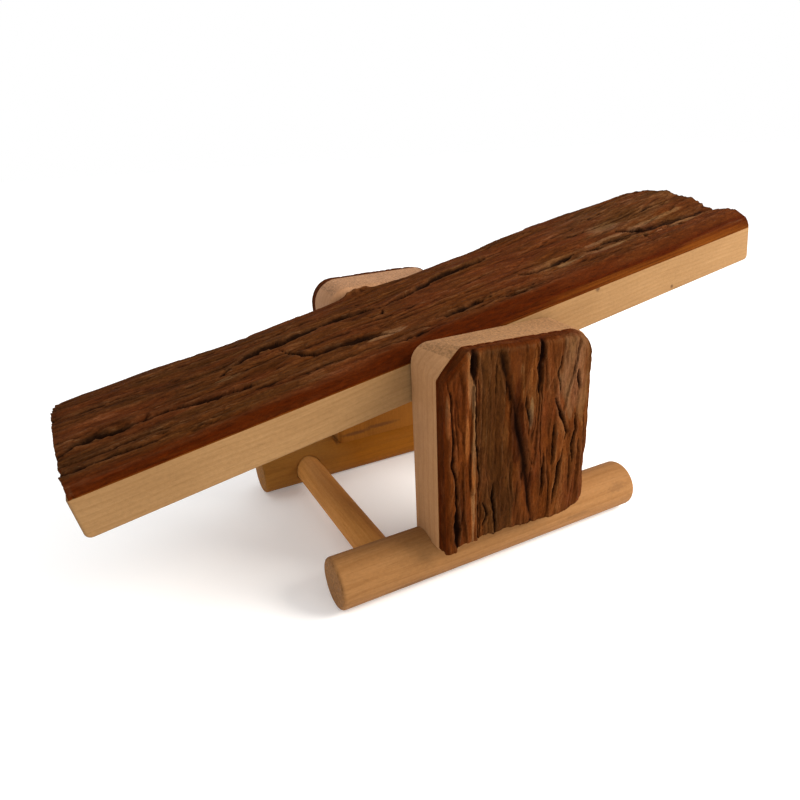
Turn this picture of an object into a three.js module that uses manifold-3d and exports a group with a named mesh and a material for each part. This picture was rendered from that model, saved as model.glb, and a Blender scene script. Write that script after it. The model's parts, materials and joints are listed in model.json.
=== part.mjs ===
// A small-pet seesaw of natural wood. A bark-topped plank rocks on a dowel
// between two upright side panels, which stand on a frame of four round dowels.
//
// Units are millimetres, +Z is up. +X runs along the two skids, and the origin is
// on the floor under the middle of the frame. The near side is -Y.

import * as THREE from 'three';
import { mergeVertices } from 'three/addons/utils/BufferGeometryUtils.js';
import Module from 'manifold-3d';

// ---- driving dimensions ----

const GAP = 0.3;                    // running or assembly clearance between two pieces

const PLANK_LENGTH = 220;
const PLANK_WIDTH = 60;
const PLANK_THICKNESS = 10.9;       // wood only, without the bark
const PLANK_CORNER = 1.5;           // rounding of the ends in side view
const PLANK_PLAN_CORNER_LEFT = 5;   // rounding of the far corners in plan
const PLANK_PLAN_CORNER_RIGHT = 7;
const PLANK_TILT = THREE.MathUtils.degToRad(9.64);   // right end up

const PIVOT_X = 0.55;
const PIVOT_Z = 62.25;
const PIVOT_RADIUS = 3;
const PIVOT_DEPTH = 9;              // how far the dowel enters each side panel

const BARK_LEFT = 6.4;              // thickness of the plank's bark at its left end
const BARK_RIGHT = 9.6;             // and at its right end
const BARK_FALL_NEAR = 0.5;         // share of that thickness lost towards the near edge
const BARK_FALL_FAR = 0.25;         // and towards the far edge
const BARK_RIM = 1.2;               // thickness left at a worn-down rim of bark
const BARK_INSET = 0.2;             // the bark's edge stands back this far from the board's
const PLANK_BARK_SHOULDERS = { left: 0.8, right: 1.5, sides: 5 };   // width of each worn rim
const PANEL_BARK_SHOULDERS = { left: 1.5, right: 4, sides: 2.5 };

const SKID_RADIUS = 7.5;
const SKID_LENGTH = 104.5;
const SKID_Y = 35.75;               // distance of each skid's axis from the middle
const SKID_FACETS = 32;

const CROSSBAR_RADIUS = 4.8;
const CROSSBAR_X = 35.7;
const CROSSBAR_DEPTH = 8;           // how far each end is let into its skid
const CROSSBAR_FACETS = 24;

const PANEL_WIDTH = 50;
const PANEL_X = 1.5;                // middle of each panel along the skids
const PANEL_INNER_Y = 31;
const PANEL_THICKNESS = 13;
const PANEL_SEAT_Z = 13.35;         // flat on the skid that the panel stands on
const NEAR_PANEL_TOP = 70;
const FAR_PANEL_TOP = 73.5;
const PANEL_CORNER = 6;
const PANEL_BARK = 5.2;
const PANEL_BARK_CORNER = 9;

const SCREW_RADIUS = 1.5;
const SCREW_HEAD_RADIUS = 3;
const SCREW_HEAD_HEIGHT = 1.8;
const SCREW_RECESS = 1.2;           // the head's face lies this far above the floor
const SCREW_LENGTH = 32;
const SCREW_POINT = 4;
const SCREW_SPACING = 28;
const SCREW_Y = 36.2;

// ---- worked-out dimensions ----

const SKID_Z = SKID_RADIUS * Math.cos(Math.PI / SKID_FACETS);   // rests on a flat facet
const SKID_INNER_Y = SKID_Y - SKID_RADIUS;
const PLANK_HALF = PLANK_THICKNESS / 2;
const PANEL_OUTER_Y = PANEL_INNER_Y + PANEL_THICKNESS;

// ---- materials ----

function wood(hex) {
  return new THREE.MeshStandardMaterial({ color: hex, roughness: 0.72, metalness: 0 });
}

const PLANK_WOOD = wood(0xc79a64);
const PANEL_WOOD = wood(0xb98552);
const DOWEL_WOOD = wood(0xb88349);
const BARK = new THREE.MeshStandardMaterial({ color: 0x5a3018, roughness: 0.95, metalness: 0 });
const STEEL = new THREE.MeshStandardMaterial({ color: 0x8c8c8a, roughness: 0.4, metalness: 1 });

// ---- solids: closed geometries that can be cut and joined ----

const wasm = await Module();
wasm.setup();

function toSolid(geometry) {
  const bare = geometry.clone();
  bare.deleteAttribute('normal');
  bare.deleteAttribute('uv');
  const merged = mergeVertices(bare, 1e-4);
  const corners = merged.index.array;
  const kept = [];
  for (let i = 0; i < corners.length; i += 3) {
    const [a, b, c] = [corners[i], corners[i + 1], corners[i + 2]];
    if (a !== b && b !== c && c !== a) kept.push(a, b, c);
  }
  return new wasm.Manifold(new wasm.Mesh({
    numProp: 3,
    vertProperties: new Float32Array(merged.attributes.position.array),
    triVerts: new Uint32Array(kept),
  }));
}

function toGeometry(solid) {
  const { vertProperties, triVerts } = solid.getMesh();
  const geometry = new THREE.BufferGeometry();
  geometry.setAttribute('position', new THREE.BufferAttribute(vertProperties, 3));
  geometry.setIndex(new THREE.BufferAttribute(triVerts, 1));
  geometry.computeVertexNormals();
  return geometry;
}

function piece(name, solid, material) {
  const mesh = new THREE.Mesh(toGeometry(solid), material);
  mesh.name = name;
  return mesh;
}

function cut(solid, tools) {
  return tools.reduce((rest, tool) => rest.subtract(tool), solid);
}

// ---- shapes ----

// A rectangle with a radius for each corner: lower left, lower right, upper right,
// upper left.
function roundedRectangle(left, bottom, right, top, radii) {
  const [ll, lr, ur, ul] = radii;
  const shape = new THREE.Shape();
  shape.moveTo(left + ll, bottom);
  shape.lineTo(right - lr, bottom);
  shape.absarc(right - lr, bottom + lr, lr, -Math.PI / 2, 0, false);
  shape.lineTo(right, top - ur);
  shape.absarc(right - ur, top - ur, ur, 0, Math.PI / 2, false);
  shape.lineTo(left + ul, top);
  shape.absarc(left + ul, top - ul, ul, Math.PI / 2, Math.PI, false);
  shape.lineTo(left, bottom + ll);
  shape.absarc(left + ll, bottom + ll, ll, Math.PI, 1.5 * Math.PI, false);
  return shape;
}

// An outline drawn in X and Z, made solid from y0 to y1.
function extrudeAlongY(shape, y0, y1, curveSegments = 6) {
  const geometry = new THREE.ExtrudeGeometry(shape, {
    depth: y1 - y0,
    bevelEnabled: false,
    curveSegments,
  });
  geometry.rotateX(Math.PI / 2);
  geometry.translate(0, y1, 0);
  return toSolid(geometry);
}

// An outline drawn in X and Y, made solid from z0 to z1.
function extrudeAlongZ(shape, z0, z1, curveSegments = 6) {
  const geometry = new THREE.ExtrudeGeometry(shape, {
    depth: z1 - z0,
    bevelEnabled: false,
    curveSegments,
  });
  geometry.translate(0, 0, z0);
  return toSolid(geometry);
}

// A round bar along its own Y axis, centred, with softened end edges. Flat facets
// face +X, -X, +Z and -Z.
function roundBar(radius, length, facets, softening) {
  const half = length / 2;
  const profile = new THREE.Path();
  profile.moveTo(0, -half);
  profile.lineTo(radius - softening, -half);
  profile.absarc(radius - softening, softening - half, softening, -Math.PI / 2, 0, false);
  profile.lineTo(radius, half - softening);
  profile.absarc(radius - softening, half - softening, softening, 0, Math.PI / 2, false);
  profile.lineTo(0, half);
  const geometry = new THREE.LatheGeometry(profile.getPoints(2), facets);
  geometry.rotateY(Math.PI / facets);
  return geometry;
}

// A round bar from y0 to y1 with its axis at the given X and Z.
function barAlongY(radius, y0, y1, x, z, facets, softening = 0) {
  const geometry = roundBar(radius, y1 - y0, facets, softening);
  geometry.translate(x, (y0 + y1) / 2, z);
  return toSolid(geometry);
}

// Places from -half to half, closer together over the last few millimetres.
function stations(half, pitch, rims) {
  const inner = Math.round((2 * half - 2 * rims) / pitch);
  const places = [-half, -half + rims / 6, -half + rims / 2];
  for (let i = 0; i <= inner; i += 1) {
    places.push(-half + rims + (2 * (half - rims) * i) / inner);
  }
  return [...places, half - rims / 2, half - rims / 6, half];
}

// A slab of bark on the plane Z = 0, as long as length in X and as wide as width in Y.
// thicknessAt(x, y) gives its thickness inside the worn rims.
function barkSlab(length, width, shoulders, thicknessAt) {
  const across = stations(width / 2, 4, shoulders.sides);
  const along = stations(length / 2, 5.5, shoulders.right);
  const section = new THREE.Shape();
  section.moveTo(-width / 2, 0);
  section.lineTo(width / 2, 0);
  across.reverse().forEach((y) => section.lineTo(y, 1));
  const geometry = new THREE.ExtrudeGeometry(section, {
    depth: 1,
    steps: along.length - 1,
    bevelEnabled: false,
  });
  geometry.rotateX(Math.PI / 2);
  geometry.rotateZ(Math.PI / 2);
  const points = geometry.attributes.position;
  for (let i = 0; i < points.count; i += 1) {
    const x = along[Math.round(points.getX(i) * (along.length - 1))];
    const y = points.getY(i);
    points.setX(i, x);
    if (points.getZ(i) > 0.5) {
      const rise = Math.min(
        (x + length / 2) / shoulders.left,
        (length / 2 - x) / shoulders.right,
        (width / 2 - Math.abs(y)) / shoulders.sides);
      const fullness = Math.sqrt(THREE.MathUtils.clamp(rise, 0, 1));
      points.setZ(i, THREE.MathUtils.lerp(BARK_RIM, thicknessAt(x, y), fullness));
    }
  }
  return toSolid(geometry);
}

// How deep a furrow cuts at a point: a groove around a line from one point to another.
function furrow(x, y, [x0, y0, x1, y1, depth, halfWidth]) {
  const along = THREE.MathUtils.clamp(
    ((x - x0) * (x1 - x0) + (y - y0) * (y1 - y0)) / ((x1 - x0) ** 2 + (y1 - y0) ** 2), 0, 1);
  const away = Math.hypot(x - x0 - along * (x1 - x0), y - y0 - along * (y1 - y0));
  return depth * Math.max(0, 1 - away / halfWidth);
}

// ---- the plank: drawn level, with the pivot's axis at its origin ----

const PLANK_FURROWS = [
  [-109, -14, -70, -12, 2.4, 4],
  [-68, 1, -9, 8, 1.8, 4],
  [-47, -5, -12, -18, 1.6, 4],
  [33, -5, 62, -6, 1.6, 4],
  [79, -5, 110, -13, 2.6, 5],
];

function plankBarkThickness(x, y) {
  const middle = THREE.MathUtils.mapLinear(x, -PLANK_LENGTH / 2, PLANK_LENGTH / 2, BARK_LEFT, BARK_RIGHT);
  const fall = y < 0 ? BARK_FALL_NEAR : BARK_FALL_FAR;
  const crown = 1 - fall * (2 * y / PLANK_WIDTH) ** 2;
  const cuts = PLANK_FURROWS.reduce((sum, line) => sum + furrow(x, y, line), 0);
  return middle * crown - cuts;
}

function plankPlan() {
  const shape = roundedRectangle(
    -PLANK_LENGTH / 2, -PLANK_WIDTH / 2, PLANK_LENGTH / 2, PLANK_WIDTH / 2,
    [1, 2.5, PLANK_PLAN_CORNER_RIGHT, PLANK_PLAN_CORNER_LEFT]);
  return extrudeAlongZ(shape, -PLANK_THICKNESS, PLANK_THICKNESS + BARK_RIGHT, 4);
}

function plankBoard() {
  const side = roundedRectangle(
    -PLANK_LENGTH / 2, -PLANK_HALF, PLANK_LENGTH / 2, PLANK_HALF,
    [PLANK_CORNER, PLANK_CORNER, 0.5, 0.5]);
  const board = extrudeAlongY(side, -PLANK_WIDTH / 2, PLANK_WIDTH / 2);
  const bore = barAlongY(PIVOT_RADIUS + GAP, -PLANK_WIDTH, PLANK_WIDTH, 0, 0, CROSSBAR_FACETS);
  return board.intersect(plankPlan()).subtract(bore);
}

function plankBark() {
  const slab = barkSlab(
    PLANK_LENGTH - 2 * BARK_INSET, PLANK_WIDTH - 2 * BARK_INSET, PLANK_BARK_SHOULDERS, plankBarkThickness);
  return slab.intersect(plankPlan()).translate([0, 0, PLANK_HALF + GAP]);
}

function plank() {
  const group = new THREE.Group();
  group.position.set(PIVOT_X, 0, PIVOT_Z);
  group.rotation.y = -PLANK_TILT;
  group.add(piece('plank_board', plankBoard(), PLANK_WOOD));
  group.add(piece('plank_bark', plankBark(), BARK));
  return group;
}

// ---- the side panels: drawn for the near side, and mirrored for the far side ----

function panelOutline(top, corner) {
  return roundedRectangle(
    PANEL_X - PANEL_WIDTH / 2, PANEL_SEAT_Z, PANEL_X + PANEL_WIDTH / 2, top,
    [1, 1, corner, corner]);
}

function panelBoard(top) {
  const board = extrudeAlongY(panelOutline(top, PANEL_CORNER), -PANEL_OUTER_Y, -PANEL_INNER_Y);
  const socket = barAlongY(
    PIVOT_RADIUS + GAP, -PANEL_INNER_Y - PIVOT_DEPTH - GAP, 0, PIVOT_X, PIVOT_Z, CROSSBAR_FACETS);
  return cut(board, [socket, ...screwHoles()]);
}

const PANEL_FURROWS = [
  [-27, -10, 27, -10, 1.8, 3],
  [-27, 6, 18, -3, 1.8, 3],
  [-20, 12, 27, 14, 1.4, 3],
];

// The slab is drawn flat with its length in X, then stood up against the outer face.
function panelBark(top) {
  const height = top - PANEL_SEAT_Z - 2 * BARK_INSET;
  const slab = barkSlab(height, PANEL_WIDTH - 2 * BARK_INSET, PANEL_BARK_SHOULDERS, (x, y) => (
    PANEL_BARK - PANEL_FURROWS.reduce((sum, line) => sum + furrow(x, y, line), 0)));
  const standing = slab
    .rotate([0, -90, 0])
    .rotate([0, 0, 90])
    .translate([PANEL_X, -PANEL_OUTER_Y - GAP, (PANEL_SEAT_Z + top) / 2]);
  const outline = extrudeAlongY(
    panelOutline(top, PANEL_BARK_CORNER), -PANEL_OUTER_Y - 2 * PANEL_BARK, -PANEL_INNER_Y);
  return standing.intersect(outline);
}

function onSide(side, solid) {
  return side === 'far' ? solid.mirror([0, 1, 0]) : solid;
}

// ---- the frame ----

function skid(side) {
  const bar = roundBar(SKID_RADIUS, SKID_LENGTH, SKID_FACETS, 1);
  bar.rotateZ(Math.PI / 2);
  bar.translate(0, -SKID_Y, SKID_Z);
  const seat = new THREE.BoxGeometry(PANEL_WIDTH + 2 * GAP, 3 * SKID_RADIUS, SKID_RADIUS);
  seat.translate(PANEL_X, -SKID_Y, PANEL_SEAT_Z - GAP + SKID_RADIUS / 2);
  const sockets = [-CROSSBAR_X, CROSSBAR_X].map((x) => barAlongY(
    CROSSBAR_RADIUS + GAP, -SKID_INNER_Y - CROSSBAR_DEPTH - GAP, 0, x, SKID_Z, CROSSBAR_FACETS));
  return onSide(side, cut(toSolid(bar), [toSolid(seat), ...sockets, ...screwHoles()]));
}

function crossbar(x) {
  const end = SKID_INNER_Y + CROSSBAR_DEPTH;
  return barAlongY(CROSSBAR_RADIUS, -end, end, x, SKID_Z, CROSSBAR_FACETS, 0.5);
}

function pivotDowel() {
  const end = PANEL_INNER_Y + PIVOT_DEPTH;
  return barAlongY(PIVOT_RADIUS, -end, end, PIVOT_X, PIVOT_Z, CROSSBAR_FACETS, 0.4);
}

// ---- the screws: up through each skid into the panel ----

const SCREW_XS = { left: PANEL_X - SCREW_SPACING / 2, right: PANEL_X + SCREW_SPACING / 2 };

// A countersunk screw, point up, grown by the given clearance. Its head's face is
// carried down to z0.
function screwSolid(x, clearance, z0) {
  const radius = SCREW_RADIUS + clearance;
  const head = SCREW_HEAD_RADIUS + clearance;
  const top = SCREW_RECESS + SCREW_LENGTH + clearance;
  const profile = [
    new THREE.Vector2(0, z0),
    new THREE.Vector2(head, z0),
    new THREE.Vector2(head, SCREW_RECESS + 0.4),
    new THREE.Vector2(radius, SCREW_RECESS + SCREW_HEAD_HEIGHT + clearance),
    new THREE.Vector2(radius, top - SCREW_POINT),
    new THREE.Vector2(0, top),
  ];
  const geometry = new THREE.LatheGeometry(profile, 16);
  geometry.rotateX(Math.PI / 2);
  geometry.translate(x, -SCREW_Y, 0);
  return toSolid(geometry);
}

function screwHoles() {
  return Object.values(SCREW_XS).map((x) => screwSolid(x, GAP, -1));
}

function screw(side, x) {
  return onSide(side, screwSolid(x, 0, SCREW_RECESS));
}

// ---- assembly ----

function seesaw() {
  const group = new THREE.Group();
  group.name = 'seesaw';
  group.add(plank());
  group.add(piece('pivot_dowel', pivotDowel(), DOWEL_WOOD));
  const tops = { near: NEAR_PANEL_TOP, far: FAR_PANEL_TOP };
  for (const [side, top] of Object.entries(tops)) {
    group.add(piece(`${side}_panel_board`, onSide(side, panelBoard(top)), PANEL_WOOD));
    group.add(piece(`${side}_panel_bark`, onSide(side, panelBark(top)), BARK));
    group.add(piece(`${side}_skid`, skid(side), DOWEL_WOOD));
    for (const [place, x] of Object.entries(SCREW_XS)) {
      group.add(piece(`${side}_screw_${place}`, screw(side, x), STEEL));
    }
  }
  group.add(piece('left_crossbar', crossbar(-CROSSBAR_X), DOWEL_WOOD));
  group.add(piece('right_crossbar', crossbar(CROSSBAR_X), DOWEL_WOOD));
  return group;
}

export default seesaw();
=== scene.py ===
"""A small-pet seesaw of natural wood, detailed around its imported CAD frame.

Blender works in metres in the row frame. Each piece is first laid out in millimetres in
its own grain frame: u runs along the grain, v across it, and w towards the bark side.
"""

import math

import bpy
import numpy as np
from mathutils import Matrix, Vector
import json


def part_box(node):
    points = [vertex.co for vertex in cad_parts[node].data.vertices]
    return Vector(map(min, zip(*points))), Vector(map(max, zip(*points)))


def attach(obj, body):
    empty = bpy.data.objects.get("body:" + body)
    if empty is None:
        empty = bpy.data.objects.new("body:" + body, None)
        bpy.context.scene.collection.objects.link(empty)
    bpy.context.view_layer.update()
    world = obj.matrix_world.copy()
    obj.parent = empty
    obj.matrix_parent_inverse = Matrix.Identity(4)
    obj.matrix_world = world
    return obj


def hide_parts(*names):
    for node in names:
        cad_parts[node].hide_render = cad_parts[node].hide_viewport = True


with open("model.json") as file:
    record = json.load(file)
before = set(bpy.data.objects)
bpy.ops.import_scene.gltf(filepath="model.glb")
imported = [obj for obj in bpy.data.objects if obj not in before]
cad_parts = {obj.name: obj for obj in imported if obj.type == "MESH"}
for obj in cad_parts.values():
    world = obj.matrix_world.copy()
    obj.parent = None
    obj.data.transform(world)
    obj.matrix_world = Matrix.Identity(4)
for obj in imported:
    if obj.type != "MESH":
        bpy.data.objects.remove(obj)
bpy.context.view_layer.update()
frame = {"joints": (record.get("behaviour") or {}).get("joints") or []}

MM = 0.001

# ---- design values shared with the CAD source ----

PLANK_TILT = math.radians(9.64)
PLANK_LENGTH = 220.0
PLANK_WIDTH = 60.0
PLANK_HALF_THICKNESS = 5.45
BORE_RADIUS = 3.3
SOCKET_RADIUS = 4.95
SOCKET_PAST_MIDDLE = 0.8      # how far a crossbar's socket goes past the skid's middle
SCREW_HOLE_RADIUS = 3.3
SCREW_HOLE_DEPTH = 2.2        # from the screw's lowest point

# ---- noise: repeatable, with no random state ----


def hashed(ix, iy, seed):
    """A repeatable number from 0 to 1 for each whole-number place."""
    h = ix.astype(np.int64).astype(np.uint64) * 374761393
    h += iy.astype(np.int64).astype(np.uint64) * 668265263
    h = (h + seed * 974634777 % 2**32) & 0xFFFFFFFF
    h = ((h ^ (h >> 13)) * 1274126177) & 0xFFFFFFFF
    h = ((h ^ (h >> 16)) * 2246822519) & 0xFFFFFFFF
    h ^= h >> 15
    return (h & 0xFFFFFF).astype(float) / 2**24


def noise(x, y, seed):
    """Smooth gradient noise, about -1 to 1, with features about one unit across."""
    x, y = np.broadcast_arrays(np.asarray(x, float), np.asarray(y, float))
    x0, y0 = np.floor(x), np.floor(y)
    fx, fy = x - x0, y - y0

    def corner(dx, dy):
        angle = hashed(x0 + dx, y0 + dy, seed) * 2 * math.pi
        return np.cos(angle) * (fx - dx) + np.sin(angle) * (fy - dy)

    sx = fx**3 * (fx * (fx * 6 - 15) + 10)
    sy = fy**3 * (fy * (fy * 6 - 15) + 10)
    low = corner(0, 0) * (1 - sx) + corner(1, 0) * sx
    high = corner(0, 1) * (1 - sx) + corner(1, 1) * sx
    return 1.5 * (low * (1 - sy) + high * sy)


def layered(x, y, seed, octaves=4, gain=0.5):
    """Noise summed over several scales."""
    total = sum(gain**k * noise(x * 2**k, y * 2**k, seed + 17 * k) for k in range(octaves))
    return total / sum(gain**k for k in range(octaves))


def smoothstep(low, high, x):
    t = np.clip((x - low) / (high - low), 0, 1)
    return t * t * (3 - 2 * t)


def blurred(field, reach):
    """A box blur over reach cells each way, run twice."""
    for axis in (0, 1, 0, 1):
        size = 2 * reach + 1
        widths = [(reach + 1, reach) if a == axis else (0, 0) for a in (0, 1)]
        padded = np.pad(field, widths, mode="reflect", reflect_type="odd")
        sums = np.cumsum(padded, axis=axis)
        high = np.take(sums, range(size, sums.shape[axis]), axis=axis)
        low = np.take(sums, range(0, sums.shape[axis] - size), axis=axis)
        field = (high - low) / size
    return field


# ---- grain frames and meshes ----


class Grain:
    """A piece's own frame: an origin in metres and the directions of u, v and w."""

    def __init__(self, origin, along, across, outward):
        self.origin = np.array(origin, float)
        self.axes = np.array([along, across, outward], float)

    def place(self, points):
        return self.origin + np.asarray(points, float) @ self.axes * MM

    def read(self, places):
        return (np.asarray(places, float) - self.origin) @ self.axes.T / MM


def new_object(name, places, faces):
    """A mesh object with its faces turned outwards."""
    mesh = bpy.data.meshes.new(name)
    mesh.from_pydata([tuple(p) for p in places], [], faces)
    mesh.validate()
    obj = bpy.data.objects.new(name, mesh)
    bpy.context.scene.collection.objects.link(obj)
    if signed_volume(mesh) < 0:
        mesh.flip_normals()
    return obj


def signed_volume(mesh):
    mesh.calc_loop_triangles()
    corners = np.empty(len(mesh.loop_triangles) * 3, np.int32)
    mesh.loop_triangles.foreach_get("vertices", corners)
    points = vertex_places(mesh)[corners.reshape(-1, 3)]
    a, b, c = points[:, 0], points[:, 1], points[:, 2]
    return float(np.einsum("ij,ij->i", a, np.cross(b, c)).sum())


def vertex_places(mesh):
    flat = np.empty(len(mesh.vertices) * 3, np.float32)
    mesh.vertices.foreach_get("co", flat)
    return flat.reshape(-1, 3).astype(float)


def store(obj, name, values, kind="FLOAT", domain="POINT"):
    attribute = obj.data.attributes.new(name, kind, domain)
    key = "vector" if kind == "FLOAT_VECTOR" else "value"
    attribute.data.foreach_set(key, np.asarray(values, np.float32).ravel())


def loft(name, loops, grain):
    """A closed solid through a row of loops, all with the same number of points."""
    count = len(loops[0])
    points = np.concatenate(loops)
    faces = [list(range(count))[::-1]]
    for k in range(len(loops) - 1):
        for i in range(count):
            j = (i + 1) % count
            a, b = k * count, (k + 1) * count
            faces.append([a + i, a + j, b + j, b + i])
    last = (len(loops) - 1) * count
    faces.append(list(range(last, last + count)))
    return new_object(name, grain.place(points), faces)


def apply_boolean(obj, cutter):
    """Cuts one closed object out of another and removes the cutter."""
    cut = obj.modifiers.new("cut", "BOOLEAN")
    cut.operation = "DIFFERENCE"
    cut.solver = "EXACT"
    cut.object = cutter
    graph = bpy.context.evaluated_depsgraph_get()
    mesh = bpy.data.meshes.new_from_object(obj.evaluated_get(graph), depsgraph=graph)
    obj.modifiers.remove(cut)
    obj.data = mesh
    bpy.data.objects.remove(cutter)


def smooth(obj, degrees=35):
    obj.data.shade_smooth()
    obj.data.set_sharp_from_angle(angle=math.radians(degrees))


def mark_grain(obj, grain):
    """Stores the place of each vertex in the grain frame, and which faces are end grain."""
    mesh = obj.data
    store(obj, "grain", grain.read(vertex_places(mesh)), "FLOAT_VECTOR")
    normals = np.empty(len(mesh.polygons) * 3, np.float32)
    mesh.polygons.foreach_get("normal", normals)
    facing = np.abs(normals.reshape(-1, 3) @ grain.axes[0])
    store(obj, "end_grain", facing > 0.75, domain="FACE")


def finish_piece(obj, material, body, slot, *nodes):
    obj.data.materials.clear()
    obj.data.materials.append(material)
    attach(obj, body)
    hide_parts(*nodes)


def turned(name, profile, grain, segments, offset=0.0):
    """A solid turned about u, through a profile of (u, radius)."""
    angles = (np.arange(segments) + offset) * 2 * math.pi / segments
    loops = [
        np.column_stack([np.full(segments, u), r * np.cos(angles), r * np.sin(angles)])
        for u, r in profile
    ]
    return loft(name, loops, grain)


def cylinder(name, start, end, radius, segments=64, softening=0.0):
    """A round bar between two places in metres, with softened ends."""
    start, end = np.array(start, float), np.array(end, float)
    along = (end - start) / np.linalg.norm(end - start)
    side = np.cross(along, [0.0, 0.0, 1.0])
    if np.linalg.norm(side) < 0.5:
        side = np.array([1.0, 0.0, 0.0])
    side = side / np.linalg.norm(side)
    grain = Grain(start, along, side, np.cross(along, side))
    length = np.linalg.norm(end - start) / MM
    turns = np.linspace(0, math.pi / 2, 5) if softening else [math.pi / 2]
    inset = [(softening * (1 - math.cos(t)), radius - softening * (1 - math.sin(t))) for t in turns]
    stations = inset + [(length - u, r) for u, r in reversed(inset)]
    return turned(name, stations, grain, segments, 0.5), grain


# ---- material helpers ----


class Nodes:
    """A short way to write a node tree."""

    def __init__(self, name):
        self.material = bpy.data.materials.new(name)
        self.material.use_nodes = True
        self.tree = self.material.node_tree
        self.shader = self.tree.nodes["Principled BSDF"]

    def add(self, kind, inputs=(), **settings):
        node = self.tree.nodes.new(kind)
        for key, value in settings.items():
            setattr(node, key, value)
        for key, value in dict(inputs).items():
            self.set(node.inputs[key], value)
        return node

    def set(self, socket, value):
        if isinstance(value, bpy.types.NodeSocket):
            self.tree.links.new(value, socket)
        else:
            socket.default_value = value

    def surface(self, inputs):
        for key, value in inputs.items():
            self.set(self.shader.inputs[key], value)
        return self.material

    def attribute(self, name, output="Fac"):
        return self.add("ShaderNodeAttribute", attribute_name=name).outputs[output]

    def math(self, operation, a, b=0.0, c=0.0, clamp=False):
        inputs = {0: a, 1: b, 2: c}
        return self.add("ShaderNodeMath", inputs, operation=operation, use_clamp=clamp).outputs[0]

    def vector_math(self, operation, a, b=(0.0, 0.0, 0.0)):
        return self.add("ShaderNodeVectorMath", {0: a, 1: b}, operation=operation)

    def scaled(self, vector, scale):
        return self.vector_math("MULTIPLY", vector, scale).outputs[0]

    def minus(self, vector, place):
        return self.vector_math("SUBTRACT", vector, place).outputs[0]

    def length(self, vector):
        return self.vector_math("LENGTH", vector).outputs["Value"]

    def noise(self, vector, scale, detail=3.0, roughness=0.55, distortion=0.0):
        """Noise with its own scale along u, v and w, in features per millimetre."""
        inputs = {"Vector": self.scaled(vector, scale), "Scale": 1.0, "Detail": detail}
        inputs |= {"Roughness": roughness, "Distortion": distortion}
        return self.add("ShaderNodeTexNoise", inputs).outputs["Fac"]

    def ramp(self, factor, *stops):
        node = self.add("ShaderNodeValToRGB", {"Fac": factor})
        elements = node.color_ramp.elements
        while len(elements) < len(stops):
            elements.new(0.5)
        for element, (place, colour) in zip(elements, stops):
            element.position = place
            value = colour if isinstance(colour, tuple) else (colour,) * 3
            element.color = (*value, 1.0)
        return node.outputs["Color"]

    def mix(self, factor, a, b, blend="MIX"):
        node = self.add("ShaderNodeMix", data_type="RGBA", blend_type=blend)
        self.set(node.inputs[0], factor)
        for socket, value in ((node.inputs[6], a), (node.inputs[7], b)):
            self.set(socket, (*value, 1.0) if isinstance(value, tuple) else value)
        return node.outputs[2]

    def tinted(self, colour, tint):
        return self.mix(1.0, colour, tint, "MULTIPLY")

    def bump(self, height, distance, strength=1.0):
        inputs = {"Height": height, "Distance": distance, "Strength": strength}
        return self.add("ShaderNodeBump", inputs).outputs["Normal"]


def late_wood(n, grain, sway, heart, ring_width, ring_strength):
    """How dark the growth rings around a heart line (v, w) are."""
    across = n.scaled(n.minus(grain, (0.0, *heart)), (0.0, 1.0, 1.0))
    radius = n.math("MULTIPLY_ADD", sway, 9.0, n.length(across))
    turn = n.math("FRACT", n.math("DIVIDE", radius, ring_width))
    ring = n.ramp(turn, (0.0, 0.10), (0.45, 0.25), (0.86, 1.0), (1.0, 0.10))
    patchy = n.math("ADD", n.noise(grain, (0.03, 0.2, 0.2), 2.0), 0.35)
    return n.math("MULTIPLY", n.math("MULTIPLY", ring, ring_strength), patchy, clamp=True)


def painted_amber_shade(n, grain, sway, amber, pale, dark):
    """The pale, dark and deepest wood colours, turned amber as painted warm shade along part of the grain.
    """
    limit, fade, colour = amber
    along = n.add("ShaderNodeSeparateXYZ", {0: grain}).outputs["X"]
    along = n.math("MULTIPLY_ADD", sway, 10.0, along)
    amount = n.math("DIVIDE", n.math("SUBTRACT", limit + 5.0, along), fade, clamp=True)
    deep = tuple(0.62 * c for c in colour)
    return n.mix(amount, pale, colour), n.mix(amount, dark, deep), deep


def dark_ragged_mark(n, grain, saw, colour, mark):
    """The wood colour with one dark, ragged mark in it."""
    place, reach, stretch, darkness = mark
    away = n.length(n.scaled(n.minus(grain, place), (1.0 / stretch, 1.0, 1.0)))
    away = n.math("MULTIPLY_ADD", saw, reach, n.math("SUBTRACT", away, 0.5 * reach))
    amount = n.ramp(n.math("DIVIDE", away, 2.0 * reach), (0.25, darkness), (0.60, 0.0))
    return n.mix(amount, colour, (0.06, 0.025, 0.01))


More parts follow.
